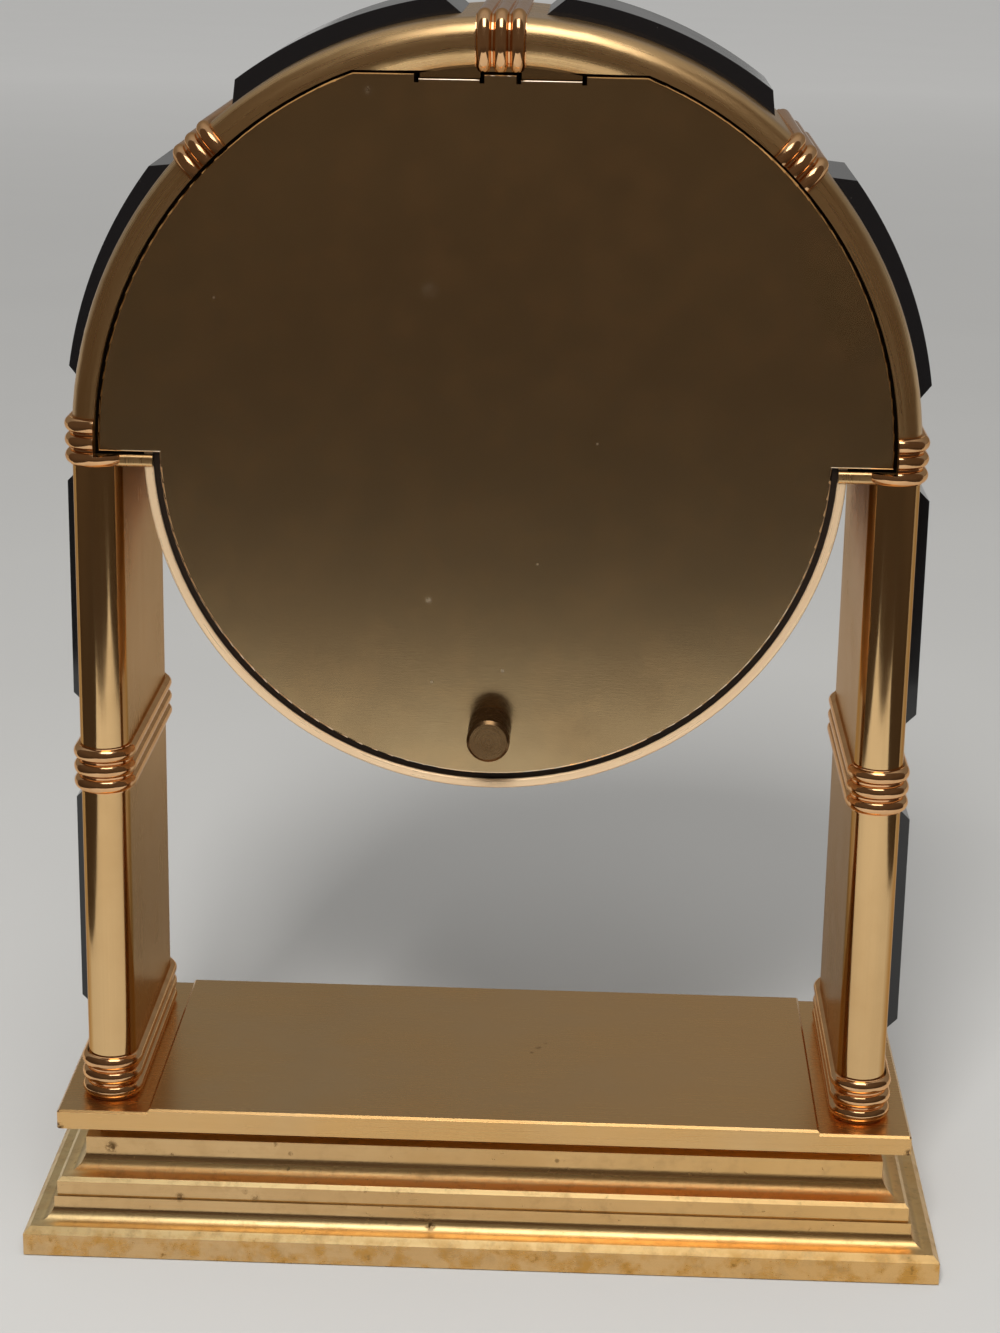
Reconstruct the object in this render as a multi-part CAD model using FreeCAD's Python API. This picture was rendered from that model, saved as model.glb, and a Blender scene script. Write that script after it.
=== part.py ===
import FreeCAD, Part
import math
import os

# An arched mantel clock: a round drum carried in an arch on two columns over a coved base.
# Millimetres. X runs across the clock, the dial faces -Y, the back door faces +Y, Z is up.
# The origin is the middle of the underside.

os.makedirs("parts", exist_ok=True)

# The drum sets the width of the arch, and the arch and columns that of the base
drum_radius = 52.9
drum_wall = 1.4
drum_fit = 0.05
drum_web = 3.5
drum_clearance = 54.25

# Base
plinth_depth = 63.0
plinth_height = 4.6
plinth_nosing = 1.0
plinth_tread = 1.0
lower_cove = 2.35
lower_fillet = 1.3
frieze_step = 0.45
frieze_height = 3.0
frieze_nosing = 0.6
frieze_tread = 0.25
upper_cove = 3.25
neck_height = 2.2
quirk_depth = 2.0
quirk_height = 3.2
slab_inset = 5.0
slab_side = 4.0
slab_thickness = 3.15
slab_bevel = 0.35
field_rise = 0.6
field_margin = 1.9
base_wall = 2.6
base_ceiling = 3.4
felt_thickness = 1.2
felt_margin = 3.0
felt_stand = 0.2

# Columns, arch and the three-bead collars
column_width = 7.6
column_inset = 4.7
arch_leg = 3.2
bead_pitch = 2.45
bead_count = 3
bead_proud = 1.1
bead_round = 1.15
collar_skin = 0.3
column_wall = 1.4

# Black strips on the outer sides
strip_thickness = 2.7
strip_gap = 2.4
strip_rear_setback = 9.2
strip_front_setback = 2.5

# Tie screws from under the base, through the columns, into the arch
tie_radius = 1.5
tie_clearance = 0.2
tie_head_radius = 2.9
tie_head_height = 2.2
tie_head_clearance = 0.25
tie_inset = 8.8
tie_engagement = 7.0
tie_slot_width = 0.8
tie_slot_depth = 1.0
tie_seat = 6.0
boss_radius = 4.6

# Walls that the drum sits in, and its seats
wall_setback = 2.3
recess_depth = 1.0
rim_round = 0.4
drum_front_stand = 2.4
seat_width = 3.0
seat_thickness = 1.6

# Back door
door_rod_margin = 0.45
door_edge_gap = 0.4
door_lower_gap = 0.95
door_seat_gap = 0.1
door_thickness = 0.8
door_notch_drop = 1.0
door_arris = 0.35
door_top_cut = 3.95
tab_inner = 3.0
tab_width = 8.8
tab_reach = 2.6
tab_hook = 3.1
tab_gap = 0.5
tab_dip = 0.6
tab_bend = 0.5
relief_width = 0.7
relief_depth = 1.3
hook_wall = 1.4
pocket_depth = 3.9
pocket_rise = 1.2
ledge_proud = 0.5
knob_radius = 3.3
knob_length = 7.35
knob_margin = 7.55
knob_bevel = 0.45
knob_stud_radius = 1.1
knob_rivet_radius = 1.8
knob_rivet_height = 0.6

# Dial side
dial_thickness = 0.6
dial_seat_setback = 6.4
dial_fit = 0.3
spacer_width = 3.4
glass_thickness = 1.6
glass_fit = 0.2
bezel_proud = 1.9
bezel_flange = 2.6
bezel_lip = 4.6
marker_length = 6.5
marker_width = 1.3
marker_height = 0.35
marker_count = 12
marker_edge = 5.5
dial_hole_radius = 4.1

# Battery, and the movement that is built round it
battery_radius = 7.15
battery_length = 50.0
battery_nub_radius = 2.6
battery_nub_length = 1.0
battery_shelf = 3.0
battery_side_gap = 0.35
battery_end_gap = 0.9
battery_recess = 0.6
bay_front_wall = 0.75
bay_end_margin = 3.0
contact_thickness = 0.35
contact_width = 8.0
movement_wall = 1.2
movement_corner = 4.0
cover_thickness = 1.4
washer_thickness = 0.5
washer_radius = 7.0
neck_radius = 4.0
nut_across = 11.0
nut_sides = 6
nut_thickness = 1.2
hand_gap = 0.5
hand_thickness = 0.4
running_fit = 0.08

# Motion work: two gear pairs on one centre distance, twelve to one in all
fast_module = 0.25
slow_module = 0.24
cannon_teeth = 12
wheel_teeth = 36
pinion_teeth = 10
hour_teeth = 40
tooth_rise_share = 0.8
tooth_root_share = 1.15
tooth_tip_share = 0.12
tooth_base_share = 0.3
gear_thickness = 1.0
gear_gap = 1.2
gear_setback = 2.0
hour_tube_radius = 2.5
minute_tube_radius = 1.6
seconds_radius = 0.6
wheel_arbor_radius = 0.7
setting_arbor_radius = 0.9
setting_knob_radius = 6.0
setting_knob_height = 3.0
setting_knob_flutes = 12
flute_radius = 0.8

# Hands
minute_hand_margin = 13.2
second_hand_margin = 11.2
hour_hand_share = 0.66
second_hand_tail_share = 0.28
hand_width = 3.2
hand_widest_share = 0.33
hand_tail_width_share = 0.5
second_hand_width = 0.7
hand_boss_radius = 3.6

# One overrun serves every cut, and one nearness picks edges out by their place
overrun = 1.0
nearness = 0.05

# Worked out from the sizes above
rod_radius = column_width / 2
inner_face = drum_radius + drum_web
column_centre = inner_face + rod_radius
outer_face = column_centre + rod_radius
slab_half_width = outer_face + slab_side
half_width = slab_half_width + slab_inset
half_depth = plinth_depth / 2
slab_underside = (felt_stand + plinth_height + lower_cove + lower_fillet + frieze_height
                  + upper_cove + neck_height + quirk_height)
slab_top = slab_underside + slab_thickness
slab_half_depth = half_depth - slab_inset
column_half_depth = slab_half_depth - column_inset
rod_axis = column_half_depth - rod_radius
arch_z = slab_top + drum_clearance + drum_radius
arch_foot = arch_z - arch_leg
collar_height = bead_pitch * bead_count
column_middle = (slab_top + collar_height + arch_foot) / 2
tie_y = column_half_depth - tie_inset
wall_y = column_half_depth - wall_setback
field_half_width = inner_face - bead_proud - field_margin
arch_back = wall_y + recess_depth
drum_inner = drum_radius - drum_wall
arch_bore = drum_radius + drum_fit
door_front = wall_y + door_seat_gap
door_rear = door_front + door_thickness
door_upper_radius = column_centre - door_rod_margin
door_lower_radius = drum_inner - door_lower_gap
door_chord_height = door_upper_radius - door_top_cut
knob_height = door_lower_radius - knob_margin
ledge_height = arch_leg - door_notch_drop - door_edge_gap
drum_front = -wall_y - drum_front_stand
dial_rear = drum_front + dial_seat_setback
dial_front = dial_rear - dial_thickness
dial_radius = drum_inner - dial_fit
movement_size = battery_length + 2 * bay_end_margin
movement_depth = 2 * battery_radius + battery_recess + battery_side_gap + bay_front_wall
movement_front = dial_rear + washer_thickness
movement_rear = movement_front + movement_depth
gear_distance = fast_module * (cannon_teeth + wheel_teeth) / 2
slow_layer = movement_front + movement_wall + gear_setback
fast_layer = slow_layer + gear_thickness + gear_gap
battery_y = movement_rear - battery_recess - battery_radius
battery_z = arch_z - movement_size / 2 + battery_shelf + battery_side_gap + battery_radius
hour_hand_y = dial_front - nut_thickness - hand_gap - hand_thickness
minute_hand_y = hour_hand_y - hand_gap - hand_thickness
second_hand_y = minute_hand_y - hand_gap - hand_thickness
minute_hand_length = dial_radius - minute_hand_margin
hour_hand_length = minute_hand_length * hour_hand_share
second_hand_length = dial_radius - second_hand_margin
second_hand_tail = second_hand_length * second_hand_tail_share

UP = FreeCAD.Vector(0, 0, 1)
REAR = FreeCAD.Vector(0, 1, 0)
RIGHT = FreeCAD.Vector(1, 0, 0)


def vec(x, y, z):
    return FreeCAD.Vector(x, y, z)


def box(x0, x1, y0, y1, z0, z1):
    return Part.makeBox(x1 - x0, y1 - y0, z1 - z0, vec(x0, y0, z0))


def rod_y(x, z, radius, y0, y1):
    return Part.makeCylinder(radius, y1 - y0, vec(x, y0, z), REAR)


def rod_z(x, y, radius, z0, z1):
    return Part.makeCylinder(radius, z1 - z0, vec(x, y, z0), UP)


def rod_x(y, z, radius, x0, x1):
    return Part.makeCylinder(radius, x1 - x0, vec(x0, y, z), RIGHT)


def ring_y(outer, inner, y0, y1):
    # A ring about the drum's axis
    hole = rod_y(0, arch_z, inner, y0 - overrun, y1 + overrun)
    return rod_y(0, arch_z, outer, y0, y1).cut(hole)


def plate(points, depth):
    # A flat polygon pushed out along Y into a solid
    wire = Part.makePolygon([vec(*p) for p in points] + [vec(*points[0])])
    return Part.Face(wire).extrude(vec(0, depth, 0))


def mirror_x(shape):
    return shape.mirror(vec(0, 0, 0), RIGHT)


def write(name, shape):
    shape.exportStep("parts/" + name + ".step")
    print(name, shape.isValid(), len(shape.Solids), round(shape.Volume, 1))


# Base

def base_profile(half_size):
    # One side of the stepped moulding, from the plinth's foot up to the slab
    edges = []

    def line(a, b):
        edges.append(Part.makeLine(vec(0, *a), vec(0, *b)))

    def cove(a, b, centre, radius):
        side = math.sqrt(0.5)
        middle = (centre[0] - radius * side, centre[1] - radius * side)
        edges.append(Part.Arc(vec(0, *a), vec(0, *middle), vec(0, *b)).toShape())

    z0 = felt_stand
    z1 = z0 + plinth_height
    z2 = z1 + lower_cove
    z3 = z2 + lower_fillet
    z4 = z3 + frieze_height
    z5 = z4 + upper_cove
    z6 = z5 + neck_height
    z7 = z6 + quirk_height
    y1 = half_size - plinth_nosing
    y2 = y1 - plinth_tread
    y3 = y2 - lower_cove
    y4 = y3 - frieze_step
    y5 = y4 - frieze_nosing
    y6 = y5 - frieze_tread
    y7 = y6 - upper_cove
    y8 = y7 - quirk_depth
    line((0, z0), (half_size, z0))
    line((half_size, z0), (half_size, z1 - plinth_nosing))
    line((half_size, z1 - plinth_nosing), (y1, z1))
    line((y1, z1), (y2, z1))
    cove((y2, z1), (y3, z2), (y2, z2), lower_cove)
    line((y3, z2), (y3, z3))
    line((y3, z3), (y4, z3))
    line((y4, z3), (y4, z4 - frieze_nosing))
    line((y4, z4 - frieze_nosing), (y5, z4))
    line((y5, z4), (y6, z4))
    cove((y6, z4), (y7, z5), (y6, z5), upper_cove)
    line((y7, z5), (y7, z6))
    line((y7, z6), (y8, z6))
    line((y8, z6), (y8, z7))
    line((y8, z7), (0, z7))
    line((0, z7), (0, z0))
    return Part.Face(Part.Wire(edges))


def moulding_run(half_size, half_length):
    # The profile run along X, with its mirror image on the other side
    face = base_profile(half_size)
    face.translate(vec(-half_length - overrun, 0, 0))
    run = face.extrude(vec(2 * (half_length + overrun), 0, 0))
    return run.fuse(run.mirror(vec(0, 0, 0), REAR)).removeSplitter()


def tie_places():
    return [(x, y) for x in (-column_centre, column_centre) for y in (-tie_y, tie_y)]


def base_moulding():
    # Two crossed runs leave mitred corners where they meet
    long_run = moulding_run(half_depth, half_width)
    short_run = moulding_run(half_width, half_depth)
    short_run.rotate(vec(0, 0, 0), UP, 90)
    body = long_run.common(short_run)
    felt_top = felt_thickness
    body = body.cut(box(-half_width + felt_margin, half_width - felt_margin,
                        -half_depth + felt_margin, half_depth - felt_margin,
                        felt_stand - overrun, felt_top))
    cavity_inset = (plinth_nosing + plinth_tread + lower_cove + frieze_step + frieze_nosing
                    + frieze_tread + upper_cove + quirk_depth + base_wall)
    cavity = box(-half_width + cavity_inset, half_width - cavity_inset,
                 -half_depth + cavity_inset, half_depth - cavity_inset,
                 felt_top - overrun, slab_underside - base_ceiling)
    for x, y in tie_places():
        cavity = cavity.cut(rod_z(x, y, boss_radius, felt_top, slab_underside))
    body = body.cut(cavity)
    for x, y in tie_places():
        body = body.cut(rod_z(x, y, tie_radius + tie_clearance, felt_top - overrun, slab_top))
        body = body.cut(rod_z(x, y, tie_head_radius + tie_head_clearance,
                              felt_top - overrun, tie_seat))
    return body


def bevelled_slab(half_x, half_y, z0, z1):
    # Its top rim and its corners are bevelled
    body = box(-half_x, half_x, -half_y, half_y, z0, z1)
    rim = [e for e in body.Edges if abs(e.CenterOfMass.z - z0) > nearness]
    return body.makeChamfer(slab_bevel, rim)


def base_top_slab():
    # The middle field stands a little proud of the seats for the columns
    body = bevelled_slab(slab_half_width, slab_half_depth, slab_underside, slab_top)
    field = box(-field_half_width, field_half_width, -slab_half_depth, slab_half_depth,
                slab_top - slab_bevel, slab_top + field_rise)
    rim = [e for e in field.Edges if abs(e.CenterOfMass.z - slab_top - field_rise) < nearness]
    body = body.fuse(field.makeChamfer(slab_bevel, rim)).removeSplitter()
    for x, y in tie_places():
        body = body.cut(rod_z(x, y, tie_radius + tie_clearance,
                              slab_underside - overrun, slab_top + overrun))
    return body


def base_felt_pad():
    inset = felt_margin + tie_clearance
    return box(-half_width + inset, half_width - inset, -half_depth + inset, half_depth - inset,
               0, felt_thickness)


def tie_screws():
    solids = []
    for x, y in tie_places():
        head = rod_z(x, y, tie_head_radius, tie_seat - tie_head_height, tie_seat)
        slot = box(x - tie_head_radius - overrun, x + tie_head_radius + overrun,
                   y - tie_slot_width / 2, y + tie_slot_width / 2,
                   tie_seat - tie_head_height - overrun,
                   tie_seat - tie_head_height + tie_slot_depth)
        shank = rod_z(x, y, tie_radius, tie_seat - tie_slot_depth, arch_foot + tie_engagement)
        solids.append(head.cut(slot).fuse(shank))
    return Part.makeCompound(solids)


# Columns and collars

def stadium_face(grow, z0):
    # The column's section: flat sides and a half-round rod along each edge
    r = rod_radius + grow
    x0 = column_centre - r
    x1 = column_centre + r
    rear = Part.Arc(vec(x1, rod_axis, z0), vec(column_centre, rod_axis + r, z0),
                    vec(x0, rod_axis, z0)).toShape()
    front = Part.Arc(vec(x0, -rod_axis, z0), vec(column_centre, -rod_axis - r, z0),
                     vec(x1, -rod_axis, z0)).toShape()
    inner = Part.makeLine(vec(x0, rod_axis, z0), vec(x0, -rod_axis, z0))
    outer = Part.makeLine(vec(x1, -rod_axis, z0), vec(x1, rod_axis, z0))
    return Part.Face(Part.Wire([rear, inner, front, outer]))


def stadium(grow, z0, z1):
    return stadium_face(grow, z0).extrude(vec(0, 0, z1 - z0))


def column(z0, z1):
    # A tube, open at both ends, with webs beside the tie screws
    tube = stadium(0, z0, z1)
    hollow = stadium(-column_wall, z0 - overrun, z1 + overrun)
    web = tie_radius + tie_clearance + column_wall
    for y in (-tie_y, tie_y):
        hollow = hollow.cut(box(inner_face, outer_face, y - web, y + web,
                                z0 - overrun, z1 + overrun))
    tube = tube.cut(hollow)
    for y in (-tie_y, tie_y):
        tube = tube.cut(rod_z(column_centre, y, tie_radius + tie_clearance,
                              z0 - overrun, z1 + overrun))
    return tube


def bead(middle):
    # A half-round rim, run along the flat sides and turned about the rod at each edge
    low = middle - bead_round
    high = middle + bead_round
    near = column_centre
    far = column_centre + rod_radius + bead_proud - bead_round

    def at(x, z):
        return vec(x, -rod_axis, z)

    edges = [Part.makeLine(at(near, low), at(far, low)),
             Part.Arc(at(far, low), at(far + bead_round, middle), at(far, high)).toShape(),
             Part.makeLine(at(far, high), at(near, high)),
             Part.makeLine(at(near, high), at(near, low))]
    section = Part.Face(Part.Wire(edges))
    outer_run = section.extrude(vec(0, 2 * rod_axis, 0))
    inner_run = outer_run.mirror(vec(column_centre, 0, 0), RIGHT)
    front_turn = section.revolve(vec(column_centre, -rod_axis, 0), UP, -180)
    rear_turn = front_turn.mirror(vec(0, 0, 0), REAR)
    return outer_run.fuse([inner_run, front_turn, rear_turn])


def beads(z0):
    # The ridges, joined by a thin skin round the column's section
    stack = stadium(collar_skin, z0, z0 + collar_height)
    for i in range(bead_count):
        stack = stack.fuse(bead(z0 + (i + 0.5) * bead_pitch))
    return stack.removeSplitter()


def collar(z0):
    body = beads(z0)
    for y in (-tie_y, tie_y):
        body = body.cut(rod_z(column_centre, y, tie_radius + tie_clearance,
                              z0 - overrun, z0 + collar_height + overrun))
    return body


# Arch

def door_outline(gap, lower_gap):
    # The back door's outline about the drum's axis, grown by a gap
    upper = door_upper_radius + gap
    lower = door_lower_radius + lower_gap
    top = door_chord_height + gap
    low = -door_notch_drop - gap
    xt = math.sqrt(upper ** 2 - top ** 2)
    xu = math.sqrt(upper ** 2 - low ** 2)
    xl = math.sqrt(lower ** 2 - low ** 2)
    half = math.sqrt(0.5)

    def at(x, z):
        return vec(x, 0, arch_z + z)

    edges = [Part.makeLine(at(xl, low), at(xu, low)),
             Part.Arc(at(xu, low), at(upper * half, upper * half), at(xt, top)).toShape(),
             Part.makeLine(at(xt, top), at(-xt, top)),
             Part.Arc(at(-xt, top), at(-upper * half, upper * half), at(-xu, low)).toShape(),
             Part.makeLine(at(-xu, low), at(-xl, low)),
             Part.Arc(at(-xl, low), at(0, -lower), at(xl, low)).toShape()]
    return Part.Face(Part.Wire(edges))


def door_recess():
    face = door_outline(door_edge_gap, door_edge_gap)
    face.translate(vec(0, wall_y, 0))
    return face.extrude(vec(0, wall_setback + bead_proud + overrun, 0))


def arch_solid():
    # The stadium section swept through a half turn, with straight legs and a flat inner wall
    sweep = stadium_face(0, arch_z).revolve(vec(0, 0, arch_z), vec(0, -1, 0), 180)
    legs = stadium(0, arch_foot, arch_z)
    body = sweep.fuse([legs, mirror_x(legs)])
    wall = rod_y(0, arch_z, column_centre, -wall_y, arch_back)
    wall = wall.common(box(-column_centre, column_centre, -wall_y, arch_back,
                           arch_foot, arch_z + column_centre))
    return body.fuse(wall)


def ledge():
    # The lip under the door's step, a continuation of the lowest bead
    z0 = arch_foot
    z1 = arch_foot + ledge_height
    bar = box(drum_inner, column_centre, wall_y - seat_thickness, door_rear + ledge_proud, z0, z1)
    rims = [e for e in bar.Edges if abs(e.CenterOfMass.y - door_rear - ledge_proud) < nearness
            and e.BoundBox.XLength > nearness]
    return bar.makeFillet(ledge_height / 2 - ledge_proud / 2, rims)


def tab_places():
    return [(tab_inner, tab_inner + tab_width), (-tab_inner - tab_width, -tab_inner)]


def tab_pockets():
    # Slots in the rear wall that the door's two tabs hook into, round-topped and undercut
    top = arch_z + door_chord_height
    deep = wall_y - pocket_depth
    solids = []
    for x0, x1 in tab_places():
        slot = box(x0 - tab_gap, x1 + tab_gap, deep, arch_back + overrun, arch_z + drum_inner,
                   top + pocket_rise)
        solids.append(slot.common(rod_y(0, arch_z, door_chord_height + pocket_rise, deep,
                                        arch_back + overrun)))
        solids.append(box(x0 - tab_gap, x1 + tab_gap, deep, wall_y - hook_wall,
                          arch_z + drum_inner, top + tab_hook))
    return solids


def arch_frame():
    body = arch_solid()
    body = body.cut(rod_y(0, arch_z, arch_bore, -column_half_depth, column_half_depth))
    for lip in (ledge(), mirror_x(ledge())):
        body = body.fuse(lip)
    body = body.cut(door_recess())
    for pocket in tab_pockets():
        body = body.cut(pocket)
    for x, y in tie_places():
        body = body.cut(rod_z(x, y, tie_radius, arch_foot - overrun, arch_foot + tie_engagement))
    return body.removeSplitter()


def arch_collar(turn):
    # A saddle of beads seated over the arch
    body = beads(arch_z - collar_height / 2)
    body.rotate(vec(0, 0, arch_z), vec(0, -1, 0), turn)
    return trimmed_saddle(body)


def trimmed_saddle(body):
    body = body.cut(arch_solid()).cut(door_recess())
    keep = sorted(body.Solids, key=lambda s: s.Volume)
    return keep[-1]


def shoulder_collar():
    body = beads(arch_foot)
    lip = ledge()
    body = body.cut(box(0, inner_face, -column_half_depth - overrun, column_half_depth + overrun,
                        arch_foot - overrun, arch_z + collar_height))
    return trimmed_saddle(body.cut(lip))


# Black strips

def strip_span():
    return (-rod_axis + strip_front_setback, rod_axis - strip_rear_setback)


def column_strip(z0, z1):
    # Bevelled at 45 degrees at both ends
    y0, y1 = strip_span()
    low = z0 + strip_gap
    high = z1 - strip_gap
    points = [(outer_face, y0, low), (outer_face, y0, high),
              (outer_face + strip_thickness, y0, high - strip_thickness),
              (outer_face + strip_thickness, y0, low + strip_thickness)]
    return plate(points, y1 - y0)


def arch_strip(start, end):
    # Angles are measured up from the springing; both ends are bevelled
    y0, y1 = strip_span()
    inner = outer_face
    outer = outer_face + strip_thickness
    gap = strip_gap / inner
    bevel = strip_thickness / outer
    a0 = start + gap
    a1 = end - gap

    def at(radius, angle):
        return vec(radius * math.cos(angle), y0, arch_z + radius * math.sin(angle))

    b0 = a0 + bevel
    b1 = a1 - bevel
    edges = [Part.Arc(at(inner, a0), at(inner, (a0 + a1) / 2), at(inner, a1)).toShape(),
             Part.makeLine(at(inner, a1), at(outer, b1)),
             Part.Arc(at(outer, b1), at(outer, (b0 + b1) / 2), at(outer, b0)).toShape(),
             Part.makeLine(at(outer, b0), at(inner, a0))]
    return Part.Face(Part.Wire(edges)).extrude(vec(0, y1 - y0, 0))


# Drum, bezel, glass and dial

def drum_case():
    # Full height below the ledge, cut down to the wall above it so that the door lies over it
    rim = ring_y(drum_radius, drum_inner, drum_front, door_rear)
    edges = [e for e in rim.Edges if abs(e.CenterOfMass.y - door_rear) < nearness]
    rim = rim.makeFillet(rim_round, edges)
    upper = box(-drum_radius, drum_radius, wall_y, door_rear + overrun, arch_foot,
                arch_z + drum_radius)
    body = rim.cut(upper)
    seat = ring_y(drum_inner + drum_wall / 2, drum_inner - seat_width, wall_y - seat_thickness, wall_y)
    dial_seat = ring_y(drum_inner + drum_wall / 2, drum_inner - seat_width, dial_rear,
                       dial_rear + seat_thickness)
    body = body.fuse([seat, dial_seat])
    for lip in (ledge(), mirror_x(ledge())):
        body = body.cut(lip)
    for pocket in tab_pockets():
        body = body.cut(pocket)
    return body.removeSplitter()


def bezel():
    # A rolled ring round the glass, resting on the arch's front wall
    r0 = arch_bore
    r1 = r0 + bezel_flange
    lip = drum_radius - bezel_lip
    glass_front = drum_front - glass_thickness
    front = glass_front - bezel_proud
    back = -wall_y
    glass_edge = drum_radius - glass_fit
    crown = (r1 + lip) / 2

    def at(r, y):
        return vec(r, y, arch_z)

    edges = [Part.makeLine(at(r0, back), at(r1, back)),
             Part.makeLine(at(r1, back), at(r1, glass_front)),
             Part.Arc(at(r1, glass_front), at(crown, front), at(lip, glass_front)).toShape(),
             Part.makeLine(at(lip, glass_front), at(glass_edge, glass_front)),
             Part.makeLine(at(glass_edge, glass_front), at(glass_edge, drum_front)),
             Part.makeLine(at(glass_edge, drum_front), at(r0, drum_front)),
             Part.makeLine(at(r0, drum_front), at(r0, back))]
    face = Part.Face(Part.Wire(edges))
    return face.revolve(vec(0, 0, arch_z), REAR, 360)


def glass():
    radius = drum_radius - glass_fit - glass_fit
    return rod_y(0, arch_z, radius, drum_front - glass_thickness, drum_front)


def dial_spacer():
    return ring_y(dial_radius, dial_radius - spacer_width, drum_front, dial_front)


def dial():
    return ring_y(dial_radius, dial_hole_radius, dial_front, dial_rear)


def hour_markers():
    outer = dial_radius - spacer_width - marker_edge
    solids = []
    for i in range(marker_count):
        bar = box(-marker_width / 2, marker_width / 2, dial_front - marker_height, dial_front,
                  arch_z + outer - marker_length, arch_z + outer)
        bar.rotate(vec(0, 0, arch_z), REAR, 360 * i / marker_count)
        solids.append(bar)
    return Part.makeCompound(solids)


# Back door

def back_door():
    # The plate's rear rim is rounded over; the two tabs are bent in from its top edge
    face = door_outline(0, 0)
    face.translate(vec(0, door_front, 0))
    body = face.extrude(vec(0, door_thickness, 0))
    rim = [e for e in body.Edges if abs(e.CenterOfMass.y - door_rear) < nearness]
    body = body.makeFillet(door_arris, rim)
    body = body.cut(rod_y(0, knob_z(), knob_stud_radius, door_front - overrun, door_rear + overrun))
    chord = arch_z + door_chord_height
    for x0, x1 in tab_places():
        body = body.cut(box(x0 - relief_width, x1 + relief_width, door_front - overrun,
                            door_rear + overrun, chord - relief_depth, chord + overrun))
        body = body.fuse(door_tab(x0, x1, chord - tab_dip)).removeSplitter()
    return body


def door_tab(x0, x1, top):
    # A shelf through the slot, with a hook turned up behind the wall
    back = door_front - tab_reach
    neck = box(x0, x1, door_front, door_rear, top - relief_depth, top)
    shelf = box(x0, x1, back, door_rear, top - door_thickness, top)
    hook = box(x0, x1, back, back + door_thickness, top - door_thickness,
               top + tab_hook - pocket_rise)
    body = neck.fuse([shelf, hook]).removeSplitter()
    bend = [e for e in body.Edges if abs(e.CenterOfMass.y - door_rear) < nearness
            and abs(e.CenterOfMass.z - top) < nearness]
    return body.makeFillet(tab_bend, bend)


def knob_z():
    return arch_z - knob_height


def door_knob():
    # A turned pull, riveted through the door
    end = door_rear + knob_length
    body = rod_y(0, knob_z(), knob_radius, door_rear, end)
    rim = [e for e in body.Edges if abs(e.CenterOfMass.y - end) < nearness]
    body = body.makeChamfer(knob_bevel, rim)
    stud = rod_y(0, knob_z(), knob_stud_radius, door_front - knob_rivet_height, door_rear + overrun)
    rivet = rod_y(0, knob_z(), knob_rivet_radius, door_front - knob_rivet_height, door_front)
    return body.fuse([stud, rivet]).removeSplitter()


# Movement

def rounded_block(y0, y1, inset):
    half = movement_size / 2 - inset
    block = box(-half, half, y0, y1, arch_z - half, arch_z + half)
    corners = [e for e in block.Edges if e.BoundBox.YLength > nearness and e.BoundBox.XLength < nearness
               and e.BoundBox.ZLength < nearness]
    return block.makeFillet(movement_corner - inset, corners)


def battery_bay(grow):
    half_length = battery_length / 2 + battery_end_gap + grow
    half_height = battery_radius + battery_side_gap + grow
    return box(-half_length, half_length, battery_y - half_height, movement_rear + overrun,
               battery_z - half_height, battery_z + half_height)


def movement_case():
    # A moulded tray with a threaded neck, the wheel pillar and the walls of the battery bay
    body = rounded_block(movement_front, movement_rear - cover_thickness, 0)
    hollow = rounded_block(movement_front + movement_wall, movement_rear, movement_wall)
    hollow = hollow.cut(battery_bay(movement_wall))
    body = body.cut(hollow)
    body = body.cut(battery_bay(0))
    neck_end = dial_front - nut_thickness
    body = body.fuse(rod_y(0, arch_z, neck_radius, neck_end, movement_front + movement_wall))
    bore = hour_tube_radius + running_fit
    body = body.cut(rod_y(0, arch_z, bore, neck_end - overrun, movement_front + movement_wall + overrun))
    pillar = rod_y(0, arch_z + gear_distance, wheel_arbor_radius, movement_front,
                   movement_rear - cover_thickness)
    return body.fuse(pillar).removeSplitter()


def movement_cover():
    # The rear lid, open over the battery, bored for the setting arbor and the centre arbor
    body = rounded_block(movement_rear - cover_thickness, movement_rear, 0)
    body = body.cut(battery_bay(0))
    y0 = movement_rear - cover_thickness - overrun
    y1 = movement_rear + overrun
    setting_z = arch_z + 2 * gear_distance
    body = body.cut(rod_y(0, setting_z, setting_arbor_radius + running_fit, y0, y1))
    body = body.cut(rod_y(0, arch_z, seconds_radius + running_fit, y0, movement_rear - cover_thickness / 2))
    return body.removeSplitter()


def rubber_washer():
    return ring_y(washer_radius, neck_radius + running_fit, dial_rear, movement_front)


def centre_nut():
    radius = nut_across / math.sqrt(3)
    y0 = dial_front - nut_thickness
    points = []
    for i in range(nut_sides):
        angle = 2 * math.pi * i / nut_sides
        points.append((radius * math.cos(angle), y0, arch_z + radius * math.sin(angle)))
    body = plate(points, nut_thickness)
    return body.cut(rod_y(0, arch_z, neck_radius, y0 - overrun, dial_front + overrun))


def gear(teeth, module, z, y0, phase):
    # Straight-flanked teeth; phase is the angle of one tooth from the X axis
    pitch_radius = module * teeth / 2
    tip = pitch_radius + module * tooth_rise_share
    root = pitch_radius - module * tooth_root_share
    step = 2 * math.pi / teeth
    points = []
    for i in range(teeth):
        middle = phase + i * step
        for radius, share in ((root, -tooth_base_share), (tip, -tooth_tip_share),
                              (tip, tooth_tip_share), (root, tooth_base_share)):
            angle = middle + share * step
            points.append((radius * math.cos(angle), y0, z + radius * math.sin(angle)))
    return plate(points, gear_thickness)


def setting_arbor():
    # The arbor and its pinion, moulded in one, running through the cover
    z = arch_z + 2 * gear_distance
    body = gear(cannon_teeth, fast_module, z, fast_layer, math.pi / 2)
    arbor = rod_y(0, z, setting_arbor_radius, movement_front + movement_wall + running_fit,
                  movement_rear + running_fit)
    return body.fuse(arbor).removeSplitter()


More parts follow.
